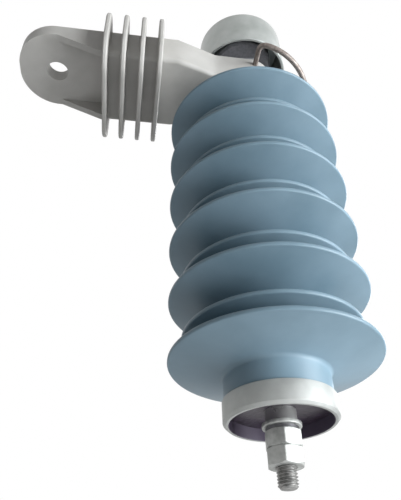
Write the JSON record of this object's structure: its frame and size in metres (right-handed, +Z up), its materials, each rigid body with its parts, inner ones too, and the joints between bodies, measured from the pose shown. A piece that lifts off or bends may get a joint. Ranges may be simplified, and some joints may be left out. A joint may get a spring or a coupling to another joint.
{
  "type": "distribution surge arrester",
  "caption": "Surge arrester with a shedded silicone housing, threaded line terminal, finned insulating bracket and an earth-end disconnector under a metal cup.",
  "frame": {"origin": "centre of the bracket's bolt hole, on the top face of its tongue, which is bolted up under a crossarm", "axes": "+Z up, parallel to the arrester's own axis, from the line terminal to the earth terminal; +X from the bolt hole along the bracket to the arrester's axis; +Y completes the right-handed frame"},
  "size_m": [0.2319, 0.115, 0.3777],
  "materials": {
    "silicone": "smooth moulded blue-grey silicone rubber, slightly glossy",
    "glass_fibre": "wound glass fibre in epoxy resin",
    "zinc_oxide": "sintered zinc-oxide disc, metallised faces",
    "aluminium": "turned aluminium, satin",
    "cup_aluminium": "pressed aluminium, satin",
    "steel": "zinc-plated steel",
    "stud_steel": "steel thread, dull",
    "spring_steel": "spring steel",
    "bracket_plastic": "grey glass-filled polyester moulding",
    "insert_plastic": "black moulded thermoset",
    "sealant": "black sealing compound",
    "hoop_wire": "dull galvanised wire, brown-grey"
  },
  "bodies": {
    "root": {"silicone_housing": "silicone", "glass_fibre_tube": "glass_fibre", "earth_electrode": "aluminium", "line_electrode": "aluminium", "earth_end_cap": "aluminium", "line_end_cap": "aluminium", "earth_end_seal": "sealant", "line_end_seal": "sealant", "insulating_bracket": "bracket_plastic", "guard_hoop": "hoop_wire", "contact_spring": "spring_steel", "contact_plate_earth": "aluminium", "contact_plate_line": "aluminium", "varistor_disc_1": "zinc_oxide", "varistor_disc_2": "zinc_oxide", "varistor_disc_3": "zinc_oxide", "varistor_disc_4": "zinc_oxide", "varistor_disc_5": "zinc_oxide", "line_washer": "steel", "line_spring_washer": "spring_steel", "line_nut_inner": "steel", "line_nut_outer": "steel", "line_stud": "stud_steel", "bracket_stud": "stud_steel", "bracket_washer": "steel", "bracket_nut": "steel", "disconnector_cup": "cup_aluminium", "disconnector_insert": "insert_plastic", "earth_stud": "stud_steel", "earth_washer": "steel", "earth_spring_washer": "spring_steel", "earth_nut": "steel"}
  },
  "joints": []
}
